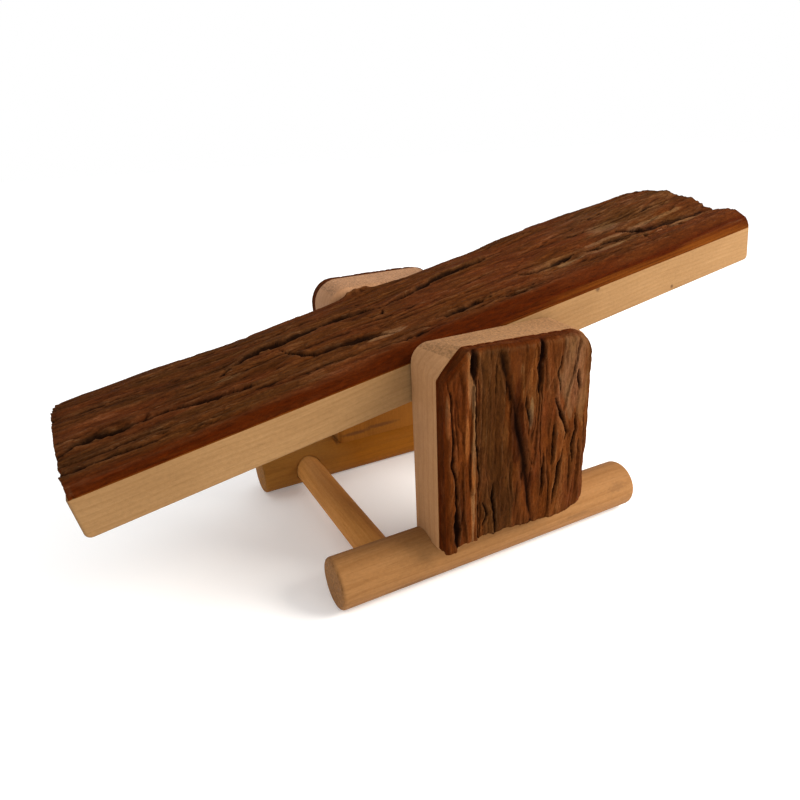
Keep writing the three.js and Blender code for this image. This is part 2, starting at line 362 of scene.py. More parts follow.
def wood_material(
    name, pale, dark, heart, ring_width, ring_strength, marks=(), amber=None, end_shade=0.15
):
    """Sawn softwood, with growth rings around a heart line (v, w) and fibres along u.

    Each of marks is a place (u, v, w), a radius in mm, how many times longer the mark is
    along the grain, and how dark it is. amber is the place u up to which the wood is turned
    amber as painted warm shade, the mm over which that fades, and the colour. With a negative
    fade the painted shade lies beyond that place instead. end_shade is how far end grain
    turns to the dark colour.
    """
    n = Nodes(name)
    grain = n.attribute("grain", "Vector")
    sway = n.noise(grain, (0.012, 0.03, 0.03), 2.0)
    fibre = n.noise(grain, (0.06, 1.6, 1.6), 6.0, 0.7)
    saw = n.noise(grain, (0.9, 1.3, 1.3), 4.0, 0.7)
    deep = tuple(0.6 * c for c in dark)
    # Painted warm shade over part of the grain.
    if amber:
        pale, dark, deep = painted_amber_shade(n, grain, sway, amber, pale, dark)
    rings = late_wood(n, grain, sway, heart, ring_width, ring_strength)
    colour = n.mix(rings, pale, dark)
    colour = n.mix(n.ramp(fibre, (0.30, 0.0), (0.70, 0.42)), colour, dark)
    fleck = n.ramp(n.noise(grain, (0.22, 3.0, 3.0), 3.0), (0.58, 0.0), (0.72, 1.0))
    colour = n.mix(n.math("MULTIPLY", fleck, 0.30), colour, deep)
    warmth = n.noise(grain, (0.02, 0.06, 0.06), 3.0)
    warmth = n.ramp(warmth, (0.28, (0.87, 0.82, 0.76)), (0.72, (1.10, 1.08, 1.07)))
    colour = n.tinted(colour, warmth)
    colour = n.tinted(colour, n.ramp(saw, (0.3, 0.90), (0.7, 1.06)))
    torn = n.noise(grain, (1.1, 1.5, 1.1), 5.0, 0.75)
    pores = n.ramp(torn, (0.37, 0.62), (0.63, 1.24))
    sawn_end = n.tinted(n.mix(end_shade, colour, dark), pores)
    colour = n.mix(n.attribute("end_grain"), colour, sawn_end)
    for mark in marks:
        colour = dark_ragged_mark(n, grain, saw, colour, mark)
    end_relief = n.math("MULTIPLY", n.attribute("end_grain"), torn)
    height = n.math("MULTIPLY_ADD", end_relief, 3.0, n.math("MULTIPLY_ADD", saw, 0.8, fibre))
    roughness = n.ramp(fibre, (0.2, 0.66), (0.8, 0.86))
    normal = n.bump(height, 0.00012, 0.9)
    n.surface({"Base Color": colour, "Roughness": roughness, "Normal": normal})
    return n.surface({"Specular IOR Level": 0.12})


BARK_PALE = (0.158, 0.082, 0.037)


def weathered_bark(n, grain, fibre, contrast):
    """The colour of the outer bark, with broad changes of tone and hue."""
    outer, mid = (0.027, 0.0088, 0.0019), (0.071, 0.0258, 0.0066)
    shade = n.math("MULTIPLY", fibre, 0.58 * contrast)
    shade = n.math("MULTIPLY_ADD", n.attribute("tone"), 0.50, shade)
    shade = n.math("MULTIPLY_ADD", n.noise(grain, (0.09, 0.34, 0.34), 5.0, 0.62), 0.50, shade)
    shade = n.math("SUBTRACT", shade, 0.02 + 0.29 * contrast)
    colour = n.ramp(shade, (0.22, outer), (0.52, mid), (0.88, BARK_PALE))
    blotch = n.ramp(n.noise(grain, (0.035, 0.16, 0.16), 3.0), (0.35, -0.35), (0.65, 0.35))
    redness = n.math("ADD", n.attribute("rust"), blotch, clamp=True)
    colour = n.mix(redness, colour, n.tinted(colour, (1.38, 0.90, 0.55)))
    hue = n.noise(grain, (0.04, 0.13, 0.13), 2.0, 0.5)
    ruddy, neutral, olive = (1.09, 0.95, 1.02), (1.0, 1.0, 1.0), (0.97, 1.00, 0.88)
    return n.tinted(colour, n.ramp(hue, (0.36, ruddy), (0.50, neutral), (0.62, olive)))


def bared_bark(n, fibre, depth):
    """The colour of a sawn surface: red inner bark, and paler cambium next to the wood."""
    red, cambium = (0.057, 0.0082, 0.0003), (0.135, 0.036, 0.0036)
    dark_red, light_red = (tuple(k * c for c in red) for k in (0.40, 1.40))
    colour = n.ramp(fibre, (0.28, dark_red), (0.72, light_red))
    return n.mix(n.ramp(depth, (0.70, 0.0), (1.0, 1.0)), colour, cambium)


def bark_material(name, contrast=1.0):
    """Bark: weathered flakes over a redder inner layer, with painted shade in its cracks and hollows."""
    n = Nodes(name)
    grain = n.attribute("grain", "Vector")
    inner = n.attribute("inner")
    streaks = n.math("SUBTRACT", n.noise(grain, (0.03, 1.3, 1.3), 4.0, 0.6), 0.5)
    depth = n.math("MULTIPLY_ADD", streaks, n.math("MULTIPLY", inner, 0.9), inner)
    fibre = n.noise(grain, (0.20, 1.05, 1.05), 7.0, 0.72, 0.3)
    speck = n.noise(grain, (0.9, 1.8, 1.8), 5.0, 0.72)
    colour = weathered_bark(n, grain, fibre, contrast)
    sawn_amount = n.ramp(depth, (0.0, 0.0), (0.62, 1.0))
    colour = n.mix(sawn_amount, colour, bared_bark(n, fibre, depth))
    # Raised crests of the flakes are painted paler: partly their weathered colour, partly a painted
    # highlight.
    pale_crest_and_highlight = n.ramp(n.noise(grain, (0.16, 2.0, 2.0), 4.0, 0.6), (0.56, 0.0), (0.76, 1.0))
    pale_crest_and_highlight = n.math("MULTIPLY_ADD", pale_crest_and_highlight, 0.7 * contrast, 0.12)
    pale_crest_and_highlight = n.math("MULTIPLY", n.attribute("crest"), pale_crest_and_highlight, clamp=True)
    colour = n.mix(pale_crest_and_highlight, colour, BARK_PALE)
    middle, spread = (0.91, 0.885, 0.855), (0.29, 0.305, 0.315)
    darker = tuple(m - contrast * d for m, d in zip(middle, spread))
    lighter = tuple(m + contrast * d for m, d in zip(middle, spread))
    uncut = n.math("SUBTRACT", 1.0, n.math("MULTIPLY", depth, 0.8))
    mottled = n.tinted(colour, n.ramp(speck, (0.32, darker), (0.66, lighter)))
    colour = n.mix(uncut, colour, mottled)
    # Painted shade: the crack field darkens hollows and cracks towards black.
    shadow = n.math("MULTIPLY", n.attribute("crack"), 0.92, clamp=True)
    colour = n.mix(shadow, colour, (0.005, 0.0016, 0.0007))
    roughness = n.ramp(speck, (0.2, 0.80), (0.8, 0.98))
    normal = n.bump(n.math("ADD", speck, fibre), 0.00038 * contrast, 0.9)
    n.surface({"Base Color": colour, "Roughness": roughness, "Normal": normal})
    return n.surface({"Specular IOR Level": 0.02})


def steel_material(name):
    """Zinc-plated steel with fine scratches."""
    n = Nodes(name)
    place = n.add("ShaderNodeTexCoord").outputs["Object"]
    scratch = n.noise(place, (900.0, 900.0, 200.0), 4.0)
    colour = n.ramp(scratch, (0.2, (0.42, 0.41, 0.39)), (0.8, (0.66, 0.66, 0.64)))
    roughness = n.ramp(scratch, (0.2, 0.28), (0.8, 0.5))
    return n.surface({"Base Color": colour, "Roughness": roughness, "Metallic": 1.0})


# ---- bark ----


def crack_depth(u, v, points, depth, half_width, seed):
    """How far a ragged crack along a line of points cuts in, in mm."""
    side = v + 0.60 * noise(u / 6.0, v / 4.0, seed) + 0.20 * noise(u / 2.5, v / 2.0, seed + 1)
    best = np.full(u.shape, 1e9)
    run = np.zeros(u.shape)
    pts = np.array(points, float)
    lengths = np.hypot(*np.diff(pts, axis=0).T)
    total = lengths.sum()
    walked = 0.0
    for (u0, v0), (u1, v1), length in zip(pts[:-1], pts[1:], lengths):
        t = np.clip(((u - u0) * (u1 - u0) + (side - v0) * (v1 - v0)) / length**2, 0, 1)
        away = np.hypot(u - u0 - t * (u1 - u0), side - v0 - t * (v1 - v0))
        nearer = away < best
        best = np.where(nearer, away, best)
        run = np.where(nearer, (walked + t * length) / total, run)
        walked += length
    ends = np.sin(math.pi * np.clip(run, 0.03, 0.97))
    ragged = layered(run * total / 4.0, 0, seed + 2, 3)
    width = half_width * (0.35 + 0.65 * ends) * (1 + 0.5 * ragged)
    return depth * np.clip(1 - best / width, 0, 1) ** 0.7 * (0.35 + 0.65 * ends)


def crack_lip(u, v, points, lift):
    """How far the bark stands up along the far side of a crack, in mm."""
    pts = np.array(sorted(points), float)
    aside = v - np.interp(u, pts[:, 0], pts[:, 1])
    along = (u - pts[0, 0]) / (pts[-1, 0] - pts[0, 0])
    within = smoothstep(0.0, 0.2, along) * smoothstep(1.0, 0.8, along)
    rise = smoothstep(0.1, 0.6, aside) * np.exp(-np.clip(aside, 0, None) / 3.5)
    return lift * within * rise


def bark_relief(u, v, roughness, seed):
    """Overlapping flakes, thin fissures and fibres: the relief in mm, tone and fissures."""
    drift = v + 1.3 * noise(u / 40, v / 14, seed) + 0.35 * noise(u / 9, v / 4, seed + 1)
    relief = 0.4 * noise(u / 55, v / 13, seed + 2)
    tone = 0.5 + 0.3 * layered(u / 30, v / 5, seed + 3, 3)
    for length, width, drop, k in ((75, 9.0, 0.9, 10), (34, 4.2, 0.4, 20), (13, 2.7, 0.22, 25)):
        steps = 2.2 * layered(u / length, drift / width, seed + k, 2)
        steps = steps + 0.10 * layered(u / 9, drift / 1.6, seed + k + 1, 2)
        level = np.floor(steps)
        climb = steps - level
        edge = smoothstep(0.90, 1.0, climb)
        relief += roughness * drop * (climb * (1 - edge) - 0.45)
        tone += 0.26 * (hashed(level + 50, 0 * level, seed + k) - 0.5)
    web = np.abs(layered(u / 60, drift / 4.6, seed + 30, 3))
    where = smoothstep(0.05, 0.5, noise(u / 34, v / 9, seed + 31))
    fissures = smoothstep(0.07, 0.0, web) * where * roughness
    fibres = layered(u / 10, drift / 1.0, seed + 40, 3)
    return relief - 0.8 * fissures + 0.105 * roughness * fibres, tone, fissures


def patch(u, v, middle, reach, seed):
    """1 inside a ragged oval, 0 outside it."""
    away = np.hypot((u - middle[0]) / reach[0], (v - middle[1]) / reach[1])
    away = away + 0.4 * layered(u / 10, v / 2.5, seed, 3)
    return smoothstep(1.15, 0.8, away)


def bark_surface(u, v, height, live, inner, rust, roughness, cracks, patches, seed):
    """The bark's height with all its relief, and the fields that its material reads, painted shade in its
    hollows and cracks among them.

    height is its plain thickness in mm, live how much of the natural relief is left, inner
    how deep into the bark a sawn surface lies, and rust how red the bark is.
    """
    relief, tone, fissures = bark_relief(u, v, roughness, seed)
    for k, (middle, reach, lighter, redder) in enumerate(patches):
        inside = patch(u, v, middle, reach, seed + 31 + k)
        tone = tone + lighter * inside
        rust = rust + redder * inside
    cuts = np.zeros(u.shape)
    for k, (points, depth, half_width, lift) in enumerate(cracks):
        cuts = np.maximum(cuts, crack_depth(u, v, points, depth, half_width, seed + 50 + 3 * k))
        relief = relief + crack_lip(u, v, points, lift)
    height = height + relief * (0.12 + 0.88 * live) - cuts * (0.4 + 0.6 * live)
    height = np.maximum(height, 0.2)
    # Painted shade: hollows, fissures and cracks are darkened below as the shade that the relief would cast,
    # and this goes into the 'crack' field.
    fine = blurred(height, 2) - height
    broad = blurred(height, 7) - height
    dark = np.clip((fine - 0.05) / 0.35, 0, 1) * 0.8 + np.clip(broad / 1.2, 0, 1) * 0.5
    dark = dark * (0.2 + 0.8 * live) + fissures * 0.4 * live
    dark = dark + np.clip((cuts - 0.15) / 0.9, 0, 1) * (0.35 + 0.65 * live)
    fields = {
        "tone": tone,
        "inner": inner + 0 * u,
        "crack": np.clip(dark, 0, 1),
        # The crests are the raised places, painted paler in the bark material as weathered colour and
        # painted highlight.
        "crest": np.clip((-fine - 0.04) / 0.25, 0, 1),
        "rust": np.clip(rust, 0, 1) + 0 * u,
    }
    return height, fields


SKIRT_ROWS = 5


def bark_skirt(edge, inward, base, seed):
    """Rows of places and fields down the bark's ragged side, from its edge to the wood."""
    edge_u, edge_v, edge_w = edge
    around = np.concatenate([[0], np.cumsum(np.hypot(np.diff(edge_u), np.diff(edge_v)))])
    for k in range(1, SKIRT_ROWS + 1):
        torn = smoothstep(-0.3, 0.8, layered(around / 4, 1.3 * k, seed + 70, 3))
        bite = (k < SKIRT_ROWS) * 0.45 * torn * np.clip(edge_w / 3, 0, 1)
        left = edge_w * (1 - k / SKIRT_ROWS)
        place = [edge_u + inward[0] * bite, edge_v + inward[1] * bite, base + left]
        above_wood = left + 0.25 * noise(around / 5, 0, seed + 82)
        yield np.column_stack(place), {
            "tone": 0.5 + 0.35 * noise(around / 6, 2.1 * k, seed + 80),
            "inner": np.clip(1.0 - above_wood / 1.3, 0.3, 0.84),
            # Painted shade in the torn bites down the side, in the 'crack' field.
            "crack": np.clip(bite * 1.2, 0, 0.7),
            "crest": 0 * around,
            "rust": 0.6 + 0 * around,
        }


def bark_piece(name, grain, base, u, v, height, fields, seed):
    """A closed solid of bark: a grid of places on top, a ragged side and a flat back."""
    rows, columns = u.shape
    index = np.arange(rows * columns).reshape(rows, columns)
    quads = np.stack([index[:-1, :-1], index[1:, :-1], index[1:, 1:], index[:-1, 1:]], -1)
    faces = quads.reshape(-1, 4).tolist()
    points = [np.column_stack([u.ravel(), v.ravel(), (base + height).ravel()])]
    values = {key: [field.ravel()] for key, field in fields.items()}

    ring = np.concatenate([index[0, :-1], index[:-1, -1], index[-1, :0:-1], index[:0:-1, 0]])
    edge = [field.ravel()[ring] for field in (u, v, height)]
    on_end = np.isin(ring, index[[0, -1]])
    on_side = np.isin(ring, index[:, [0, -1]])
    inward = (
        np.where(on_end, -np.sign(edge[0] - u.mean()), 0),
        np.where(on_side, -np.sign(edge[1] - v.mean()), 0),
    )
    above = ring
    after = np.roll(np.arange(len(ring)), -1)
    for k, (places, row_fields) in enumerate(bark_skirt(edge, inward, base, seed)):
        points.append(places)
        for key, field in row_fields.items():
            values[key].append(field)
        below = rows * columns + k * len(ring) + np.arange(len(ring))
        faces += np.stack([above, above[after], below[after], below], -1).tolist()
        above = below
    faces.append(above[::-1].tolist())

    obj = new_object(name, grain.place(np.concatenate(points)), faces)
    mark_grain(obj, grain)
    for key, parts in values.items():
        store(obj, key, np.concatenate(parts))
    smooth(obj, 60)
    return obj


# ---- the plank ----

joint = frame["joints"][0]
plank_grain = Grain(
    joint["pos_m"],
    (math.cos(PLANK_TILT), 0.0, math.sin(PLANK_TILT)),
    (0.0, 1.0, 0.0),
    (-math.sin(PLANK_TILT), 0.0, math.cos(PLANK_TILT)),
)
PLANK_SEED = 11
PLANK_CORNERS = {"near_left": 0.8, "near_right": 1.0, "far_right": 8.0, "far_left": 6.0}


def rounded_plan(half_length, half_width, corners, steps=8):
    """Points round a rectangle, from the near left corner, with a radius for each."""
    places = (
        ("near_left", -1, -1), ("near_right", 1, -1), ("far_right", 1, 1), ("far_left", -1, 1)
    )
    points = []
    for turn, (name, end, side) in enumerate(places):
        radius = corners[name]
        u, v = end * (half_length - radius), side * (half_width - radius)
        for k in range(steps + 1):
            angle = math.pi + math.pi / 2 * (turn + k / steps)
            points.append((u + radius * math.cos(angle), v + radius * math.sin(angle)))
    return np.array(points)


def build_plank_board():
    """Sawn board, rounded under its ends, with a cross bore for the pivot."""
    end_round, side_round = 1.5, 0.5
    loops = []
    for rise in (0.0, 0.06, 0.2, 0.4, 0.7, 1.1, end_round, 2 * PLANK_HALF_THICKNESS):
        end_inset = end_round - math.sqrt(end_round**2 - max(0.0, end_round - rise) ** 2)
        side_inset = side_round - math.sqrt(side_round**2 - max(0.0, side_round - rise) ** 2)
        plan = rounded_plan(PLANK_LENGTH / 2 - end_inset, PLANK_WIDTH / 2 - side_inset, PLANK_CORNERS)
        loops.append(np.column_stack([plan, np.full(len(plan), rise - PLANK_HALF_THICKNESS)]))
    board = loft("board_of_plank", loops, plank_grain)
    pivot = np.array(joint["pos_m"])
    reach = np.array([0.0, PLANK_WIDTH / 2 + 10.0, 0.0]) * MM
    bore, _ = cylinder("bore", pivot - reach, pivot + reach, BORE_RADIUS, 48)
    apply_boolean(board, bore)
    mark_grain(board, plank_grain)
    smooth(board)
    return board


# The bark's thickness in mm across the plank, as (v, thickness), at places along it. The
# near edge is a sawn slope up to about v = -24.
PLANK_SECTIONS = (
    (-110, ((-30, 0.4), (-28.5, 2.6), (-22, 3.8), (-17, 2.8), (-10, 3.9),
            (2, 5.8), (10, 5.9), (18, 4.8), (26, 3.0), (30, 1.7))),
    (-60, ((-30, 0.4), (-27.5, 3.4), (-23, 4.2), (-14, 4.0), (-6, 5.0),
           (4, 5.4), (14, 5.1), (22, 3.9), (26, 3.0), (30, 1.6))),
    (-30, ((-30, 0.4), (-25.5, 4.0), (-23, 4.4), (-13, 4.5), (-3, 5.3),
           (8, 5.7), (16, 5.4), (22, 4.6), (26, 3.9), (30, 2.4))),
    (0, ((-30, 0.4), (-23.5, 4.4), (-12, 5.0), (0, 5.6), (12, 6.0), (20, 5.6), (26, 4.8), (30, 3.0))),
    (30, ((-30, 0.4), (-24, 4.6), (-12, 5.2), (0, 6.0), (12, 6.8), (20, 6.4), (26, 5.6), (30, 3.2))),
    (60, ((-30, 0.4), (-24, 4.6), (-13, 5.4), (-3, 6.8), (8, 7.8), (18, 8.0), (26, 7.2), (30, 4.0))),
    (110, ((-30, 0.4), (-28.2, 3.2), (-24, 5.6), (-16, 4.8), (-12, 6.2), (-7, 8.6),
           (4, 10.0), (15, 9.8), (23, 8.2), (28, 6.0), (30, 3.0))),
)
# Cracks: a line of (u, v), the depth, the half width and how far the far lip stands up.
PLANK_CRACKS = (
    ([(-111, -13.5), (-106, -10.5), (-101, -8.8), (-97, -10.6), (-91, -10), (-88, -8.8)], 1.1, 1.7, 0.5),
    ([(-111, -13.5), (-106, -10.5), (-101, -8.8), (-97, -10.6), (-91, -10), (-82, -10.6)], 2.4, 0.9, 0.0),
    ([(-84, -10.2), (-76, -12), (-70, -13.4), (-62, -15)], 1.8, 1.2, 0.5),
    ([(-105, -19), (-94, -19), (-87, -19.3), (-80, -20.9)], 1.6, 0.6, 0.2),
    ([(-98, -21.8), (-91, -22), (-85, -22.8)], 1.4, 0.5, 0.0),
    ([(-111, -23.8), (-105, -23.6), (-98, -23.6), (-88, -24.6)], 2.2, 0.8, 0.0),
    ([(-110, 5), (-100, 4.4), (-88, 6.5)], 1.3, 0.6, 0.4),
    ([(-92, 14), (-78, 15), (-66, 14)], 1.0, 0.5, 0.4),
    ([(-67, -3), (-60, 1.5), (-54, 3.6), (-47, 2.6), (-41, 3.5), (-29, 5.4), (-21, 4.5), (-12, 3.2)],
     2.6, 1.1, 1.5),
    ([(-15, 3), (-7, 4), (-2, 5.2), (3, 7.2), (13, 10.2), (20, 9.6), (28, 10.2), (38, 11.5)], 2.4, 1.0, 1.3),
    ([(-56, 11), (-44, 12.5), (-30, 12)], 1.2, 0.5, 0.5),
    ([(-49, -1), (-47.3, -5), (-45, -9.7), (-42, -11.5), (-35, -11.2), (-29, -12.8), (-19, -17)],
     1.3, 1.0, 0.8),
    ([(-37, -11), (-30, -12), (-23, -14)], 1.3, 2.2, 0.0),
    ([(-21, -1.4), (-17, -2.8), (-15, 0)], 1.6, 0.9, 0.0),
    ([(-30, -22.5), (-20, -23.4), (-8, -22.8)], 1.4, 0.6, 0.0),
    ([(-16, -20.1), (-9, -21.3)], 1.5, 0.6, 0.0),
    ([(-7, -18.8), (-1.6, -18.9), (3, -18.8), (7, -18), (12, -18.6)], 3.2, 1.3, 0.4),
    ([(3, -21.4), (11, -21.6), (23, -22.2), (32, -22.6)], 1.5, 0.6, 0.0),
    ([(32, 21), (48, 20.4), (60, 18.5)], 1.3, 0.6, 0.4),
    ([(10, -3), (22, -2), (34, -4)], 1.1, 0.5, 0.4),
    ([(28, -11.4), (33, -13.2), (41, -13)], 2.4, 1.1, 0.4),
    ([(38, -12.9), (43.5, -12), (50, -11.2)], 2.0, 1.3, 0.3),
    ([(53, -12), (59, -14.6)], 2.4, 1.0, 0.4),
    ([(62, -11), (67, -12.4), (72, -13.8)], 2.2, 1.1, 0.4),
    ([(72.5, -7.2), (77, -10.8), (82, -14.4)], 2.2, 1.2, 0.4),
    ([(74, -15.4), (79, -19)], 1.8, 0.9, 0.0),
    ([(84, -17), (91, -19.4)], 2.2, 1.1, 0.0),
    ([(112, -16), (101, -16.2), (96, -14.6), (91, -12)], 1.6, 0.8, 0.3),
    ([(112, -15.6), (98, -14.6), (84, -13.4), (70, -12), (54, -13)], 0.9, 2.6, 0.0),
    ([(104, -2), (94, -1), (84, -2.5)], 1.3, 0.6, 0.5),
    ([(98, 9), (86, 10), (72, 9)], 1.2, 0.6, 0.5),
)
# Patches: the middle, the reach, how much paler and how much redder.
PLANK_PATCHES = (
    ((-92, -18), (24, 5), -0.06, -0.2),
    ((-75, 8), (34, 12), -0.08, -0.1),
    ((-45, -17), (26, 3), 0.14, 0.0),
    ((-66, -6), (4, 1.6), 0.5, -0.4),
    ((-21, -16), (6, 1.4), 0.55, -0.4),
    ((20, -9), (30, 6), 0.10, 0.1),
    ((45.5, -15.4), (5, 0.9), 0.75, -0.6),
    ((61, -16), (8, 0.9), 0.6, -0.6),
    ((64, -9.5), (9, 0.9), 0.6, -0.6),
    ((72, -2), (7, 4), 0.30, -0.3),
    ((84, 6), (30, 14), 0.14, -0.4),
    ((66, -13), (40, 4), 0.16, -0.3),
    ((88, -9.5), (14, 1.2), 0.5, -0.5),
    ((92, -17.4), (12, 0.8), 0.75, -0.6),
    ((40, 2), (26, 8), 0.06, 0.1),
    ((-13, 25), (7, 4), 0.10, 0.2),
)


def plank_thickness(u, v):
    """The bark's thickness, blended along the plank between the sections."""
    stations = np.array([s[0] for s in PLANK_SECTIONS], float)
    profiles = np.stack([np.interp(v, *np.array(s[1], float).T) for s in PLANK_SECTIONS])
    place = np.clip(np.searchsorted(stations, u) - 1, 0, len(stations) - 2)
    t = smoothstep(0, 1, (u - stations[place]) / (stations[place + 1] - stations[place]))
    low = np.take_along_axis(profiles, place[None], 0)[0]
    high = np.take_along_axis(profiles, place[None] + 1, 0)[0]
    return low * (1 - t) + high * t


def corner_inset(line, radius, end):
    """How far a side stands back where a corner of this radius rounds it off."""
    over = np.clip(radius - np.abs(line - end), 0, radius)
    return radius - np.sqrt(radius**2 - over**2)


def build_plank_bark():
    rows, columns = 430, 204
    half = PLANK_LENGTH / 2
    line = np.linspace(-half - 0.9, half, rows)
    sides = {}
    for side in ("near", "far"):
        inset = corner_inset(line, PLANK_CORNERS[side + "_left"], -half)
        inset = inset + corner_inset(line, PLANK_CORNERS[side + "_right"], half)
        sides[side] = PLANK_WIDTH / 2 - inset
    t = np.linspace(0, 1, columns)[None, :]
    v = -sides["near"][:, None] + (sides["near"] + sides["far"])[:, None] * t
    u = np.repeat(line[:, None], columns, 1)
    # The ends are torn a little short of the board's own in places.
    torn = 0.5 + 0.5 * layered(v / 6, 0, 91, 4)
    notch = smoothstep(-18.5, -20, v) * smoothstep(-24, -22.5, v)
    near_left = smoothstep(-22, -28, v)
    left_inset = 0.9 * torn + 1.3 * notch + 1.0 * near_left
    u = np.where(u < 0, u + left_inset * smoothstep(8, 0, u + half), u)
    u = np.where(u > 0, u - 1.4 * torn * smoothstep(8, 0, half - u) * smoothstep(-20, -12, v), u)
    height = plank_thickness(u, v)
    # Where the sawn slope at the near edge ends and live bark begins.
    slope = np.interp(u, (-110, -40, -10, 110), (-28.0, -27.5, -24.0, -24.5))
    slope = slope + 0.5 * layered(u / 14, 0, 92, 3)
    live = smoothstep(-0.4, 1.6, v - slope)
    live = live * (0.5 + 0.5 * smoothstep(0, 2.5, sides["far"][:, None] - v))
    # A flake that stands up on the far edge.
    flake = np.exp(-(((u + 12) / 6.0) ** 2) - ((v - 25.5) / 3.0) ** 2)
    height = height + 2.3 * flake * (0.7 + 0.6 * layered(u / 3, v / 3, 93, 2))
    # How much inner bark the slope bares, with a frayed upper border.
    bared = 0.58 - 0.14 * smoothstep(30, 90, u)
    frayed = smoothstep(-1.4, 2.6, v - slope + 0.9 * layered(u / 8, v / 1.6, 94, 3))
    inner = bared * (1 - frayed) + (0.88 - bared) * smoothstep(-26.0, -29.6, v) * smoothstep(-20, 40, u)
    inner = inner * smoothstep(6, -6, v)
    inner = inner * (1 - 0.55 * smoothstep(10, 60, u) * smoothstep(-28.4, -25.5, v))
    rust = 0.35 + 0.15 * u / half
    # The middle of the right half is smoother than the rest.
    plain = np.exp(-(((u - 30) / 45) ** 2) - ((v - 6) / 12) ** 2)
    roughness = 0.85 - 0.35 * plain - 0.30 * smoothstep(14, 26, v)
    height, fields = bark_surface(
        u, v, height, live, inner, rust, roughness, PLANK_CRACKS, PLANK_PATCHES, PLANK_SEED
    )
    return bark_piece("bark_of_plank", plank_grain, PLANK_HALF_THICKNESS, u, v, height, fields, PLANK_SEED)


# ---- the side panels ----


def panel_grain(side):
    """u up the panel, v along +X, w outwards, from the middle of the seat."""
    low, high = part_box(side + "_panel_board")
    outward = -1.0 if side == "near" else 1.0
    face = low.y if side == "near" else high.y
    origin = ((low.x + high.x) / 2, face, low.z)
    return Grain(origin, (0, 0, 1), (1, 0, 0), (0, outward, 0))


# The top corners' radii (left, right) outside and inside, how far each is cut flat, the
# slope of the top, how far the rim and the bark stand back, how round the inner edges are,
# and the angle up to which the board is smooth.
PANELS = {
    "near": {
        "outer": (7.5, 7.0), "inner": (5.0, 6.5), "flat": (0.85, 0.25), "tilt": 0.04,
        "rim": 0.0, "bark_inset": 0.1, "edge": 0.5, "smooth": 28,
    },
    "far": {
        "outer": (8.0, 6.0), "inner": (8.0, 6.0), "flat": (0.1, 0.2), "tilt": 0.0,
        "rim": 1.5, "bark_inset": 1.6, "edge": 1.4, "smooth": 40,
    },
}
PANEL_THICKNESS = 13.0
PANEL_HALF_WIDTH = 25.0


def panel_top(side):
    """Height of the panel's top at its outer face, about the CAD height."""
    low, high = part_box(side + "_panel_board")
    return (high.z - low.z) / MM + 0.4


def corner_points(u, v, sign, radius, flat, steps=10):
    """A top corner between a straight side and the top, as an arc flattened to a chamfer."""
    points = []
    for k in range(steps + 1):
        angle = math.pi / 2 * k / steps
        arc = (u - radius + radius * math.sin(angle), v - sign * radius * (1 - math.cos(angle)))
        t = k / steps
        chord = (u - radius * (1 - t), v - sign * radius * t)
        points.append(tuple(a * (1 - flat) + c * flat for a, c in zip(arc, chord)))
    return points


def panel_outline(height, radii, flats, tilt, inset):
    """Round a panel from the lower left, as (u, v). inset draws in all but its foot."""
    half, top = PANEL_HALF_WIDTH - inset, height - inset
    left = corner_points(top, -half, -1, radii[0], flats[0])
    right = corner_points(top, half, 1, radii[1], flats[1])
    outline = np.array([(0.0, -half), *left, *right[::-1], (0.0, half)])
    outline[:, 0] -= tilt * outline[:, 1] * smoothstep(0.6 * top, top, outline[:, 0])
    return outline


def build_panel_board(side):
    """Upright board, lofted from its outer face to its rounded inner edges."""
    grain = panel_grain(side)
    size = PANELS[side]
    rim, edge = size["rim"], size["edge"]
    stations = [(0, rim), (-0.02, rim), (-6, rim)]
    for k in range(7):
        angle = math.pi / 12 * k
        round_w = -PANEL_THICKNESS + edge * (1 - math.sin(angle))
        stations.append((round_w, rim + edge * (1 - math.cos(angle))))
    loops = []
    for w, inset in stations:
        t = -w / PANEL_THICKNESS
        radii = [a * (1 - t) + b * t for a, b in zip(size["outer"], size["inner"])]
        flats = [f * (1 - t) for f in size["flat"]]
        height = panel_top(side) - 0.9 * t
        outline = panel_outline(height, radii, flats, size["tilt"] * (1 - t), inset)
        loops.append(np.column_stack([outline, np.full(len(outline), w)]))
    board = loft(f"board_of_{side}_panel", loops, grain)
    mark_grain(board, grain)
    smooth(board, size["smooth"])
    return board


